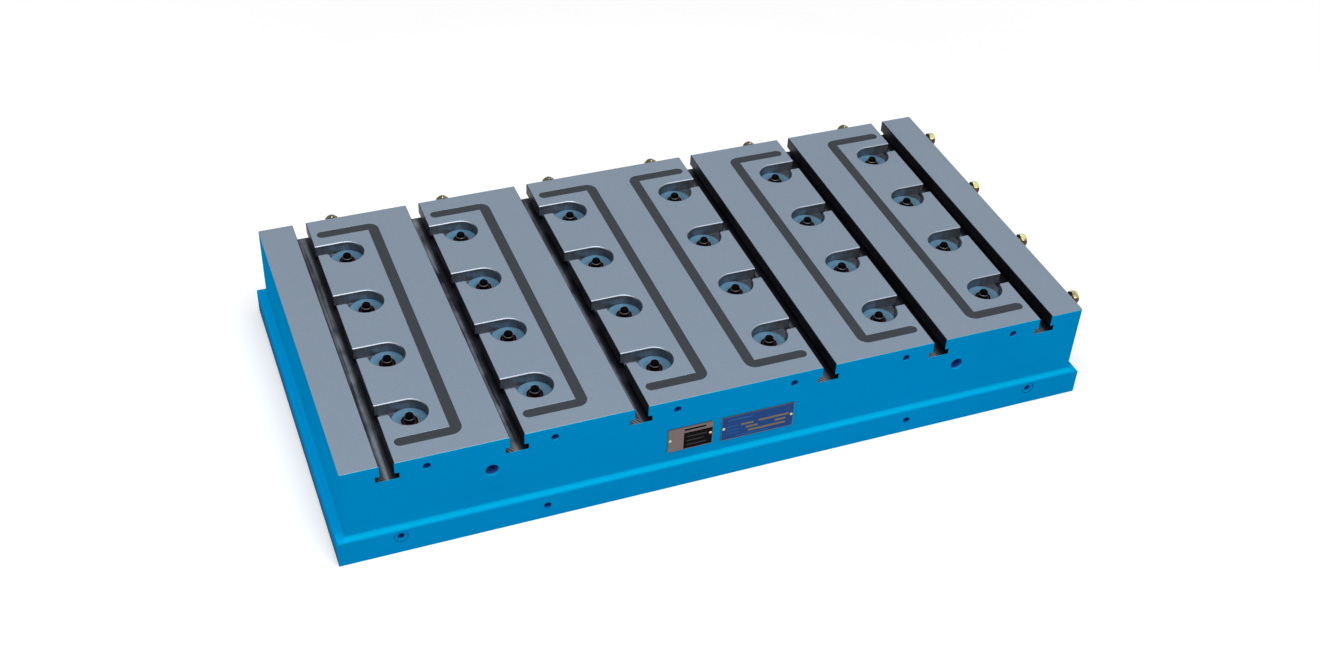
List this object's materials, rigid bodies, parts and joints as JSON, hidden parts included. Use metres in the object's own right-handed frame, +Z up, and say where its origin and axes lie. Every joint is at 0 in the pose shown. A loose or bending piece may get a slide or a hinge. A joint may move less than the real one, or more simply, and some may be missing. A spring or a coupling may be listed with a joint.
{
  "type": "vacuum chuck",
  "caption": "Rectangular machine-table chuck with through T-slots, valve pockets opening into the slots, flush C-shaped grip strips and a flanged base.",
  "frame": {"origin": "centre of the base plate's underside, which rests on the machine table", "axes": "+X along the length towards the end with the four stop screws, +Y across the width from the front with the two plates to the back, +Z up through the work face"},
  "size_m": [1.032, 0.528, 0.141],
  "materials": {
    "body_iron": "fine ground face, painted sides",
    "base_paint": "satin machine paint",
    "seal_rubber": "matt cord",
    "black_steel": "black oxide",
    "seat_blue": "satin, pale blue anodised",
    "grip_rubber": "matt, ground flush",
    "brass": "bright turned",
    "name_metal": "blue enamel with a bare metal edge",
    "notice_metal": "satin bare metal"
  },
  "bodies": {
    "chuck": {"chuck_body": "body_iron", "base_plate": "base_paint", "base_seal": "seal_rubber", "base_bolts": "black_steel", "valve_seats": "seat_blue", "stop_screws_back": "brass", "stop_screws_end": "brass", "port_bushes": "base_paint", "name_plate": "name_metal", "notice_plate": "notice_metal", "grip_strip_a": "grip_rubber", "grip_strip_b": "grip_rubber", "grip_strip_c": "grip_rubber", "grip_strip_d": "grip_rubber", "grip_strip_e": "grip_rubber", "grip_strip_f": "grip_rubber"},
    "stem_a1": {"valve_stem_a1": "black_steel"},
    "stem_a2": {"valve_stem_a2": "black_steel"},
    "stem_a3": {"valve_stem_a3": "black_steel"},
    "stem_a4": {"valve_stem_a4": "black_steel"},
    "stem_b1": {"valve_stem_b1": "black_steel"},
    "stem_b2": {"valve_stem_b2": "black_steel"},
    "stem_b3": {"valve_stem_b3": "black_steel"},
    "stem_b4": {"valve_stem_b4": "black_steel"},
    "stem_c1": {"valve_stem_c1": "black_steel"},
    "stem_c2": {"valve_stem_c2": "black_steel"},
    "stem_c3": {"valve_stem_c3": "black_steel"},
    "stem_c4": {"valve_stem_c4": "black_steel"},
    "stem_d1": {"valve_stem_d1": "black_steel"},
    "stem_d2": {"valve_stem_d2": "black_steel"},
    "stem_d3": {"valve_stem_d3": "black_steel"},
    "stem_d4": {"valve_stem_d4": "black_steel"},
    "stem_e1": {"valve_stem_e1": "black_steel"},
    "stem_e2": {"valve_stem_e2": "black_steel"},
    "stem_e3": {"valve_stem_e3": "black_steel"},
    "stem_e4": {"valve_stem_e4": "black_steel"},
    "stem_f1": {"valve_stem_f1": "black_steel"},
    "stem_f2": {"valve_stem_f2": "black_steel"},
    "stem_f3": {"valve_stem_f3": "black_steel"},
    "stem_f4": {"valve_stem_f4": "black_steel"}
  },
  "joints": [
    {"name": "valve_a1_lift", "type": "slide", "parent": "chuck", "child": "stem_a1", "axis": [0, 0, 1], "range_m": [0, 0.0035]},
    {"name": "valve_a2_lift", "type": "slide", "parent": "chuck", "child": "stem_a2", "axis": [0, 0, 1], "range_m": [0, 0.0035]},
    {"name": "valve_a3_lift", "type": "slide", "parent": "chuck", "child": "stem_a3", "axis": [0, 0, 1], "range_m": [0, 0.0035]},
    {"name": "valve_a4_lift", "type": "slide", "parent": "chuck", "child": "stem_a4", "axis": [0, 0, 1], "range_m": [0, 0.0035]},
    {"name": "valve_b1_lift", "type": "slide", "parent": "chuck", "child": "stem_b1", "axis": [0, 0, 1], "range_m": [0, 0.0035]},
    {"name": "valve_b2_lift", "type": "slide", "parent": "chuck", "child": "stem_b2", "axis": [0, 0, 1], "range_m": [0, 0.0035]},
    {"name": "valve_b3_lift", "type": "slide", "parent": "chuck", "child": "stem_b3", "axis": [0, 0, 1], "range_m": [0, 0.0035]},
    {"name": "valve_b4_lift", "type": "slide", "parent": "chuck", "child": "stem_b4", "axis": [0, 0, 1], "range_m": [0, 0.0035]},
    {"name": "valve_c1_lift", "type": "slide", "parent": "chuck", "child": "stem_c1", "axis": [0, 0, 1], "range_m": [0, 0.0035]},
    {"name": "valve_c2_lift", "type": "slide", "parent": "chuck", "child": "stem_c2", "axis": [0, 0, 1], "range_m": [0, 0.0035]},
    {"name": "valve_c3_lift", "type": "slide", "parent": "chuck", "child": "stem_c3", "axis": [0, 0, 1], "range_m": [0, 0.0035]},
    {"name": "valve_c4_lift", "type": "slide", "parent": "chuck", "child": "stem_c4", "axis": [0, 0, 1], "range_m": [0, 0.0035]},
    {"name": "valve_d1_lift", "type": "slide", "parent": "chuck", "child": "stem_d1", "axis": [0, 0, 1], "range_m": [0, 0.0035]},
    {"name": "valve_d2_lift", "type": "slide", "parent": "chuck", "child": "stem_d2", "axis": [0, 0, 1], "range_m": [0, 0.0035]},
    {"name": "valve_d3_lift", "type": "slide", "parent": "chuck", "child": "stem_d3", "axis": [0, 0, 1], "range_m": [0, 0.0035]},
    {"name": "valve_d4_lift", "type": "slide", "parent": "chuck", "child": "stem_d4", "axis": [0, 0, 1], "range_m": [0, 0.0035]},
    {"name": "valve_e1_lift", "type": "slide", "parent": "chuck", "child": "stem_e1", "axis": [0, 0, 1], "range_m": [0, 0.0035]},
    {"name": "valve_e2_lift", "type": "slide", "parent": "chuck", "child": "stem_e2", "axis": [0, 0, 1], "range_m": [0, 0.0035]},
    {"name": "valve_e3_lift", "type": "slide", "parent": "chuck", "child": "stem_e3", "axis": [0, 0, 1], "range_m": [0, 0.0035]},
    {"name": "valve_e4_lift", "type": "slide", "parent": "chuck", "child": "stem_e4", "axis": [0, 0, 1], "range_m": [0, 0.0035]},
    {"name": "valve_f1_lift", "type": "slide", "parent": "chuck", "child": "stem_f1", "axis": [0, 0, 1], "range_m": [0, 0.0035]},
    {"name": "valve_f2_lift", "type": "slide", "parent": "chuck", "child": "stem_f2", "axis": [0, 0, 1], "range_m": [0, 0.0035]},
    {"name": "valve_f3_lift", "type": "slide", "parent": "chuck", "child": "stem_f3", "axis": [0, 0, 1], "range_m": [0, 0.0035]},
    {"name": "valve_f4_lift", "type": "slide", "parent": "chuck", "child": "stem_f4", "axis": [0, 0, 1], "range_m": [0, 0.0035]}
  ]
}
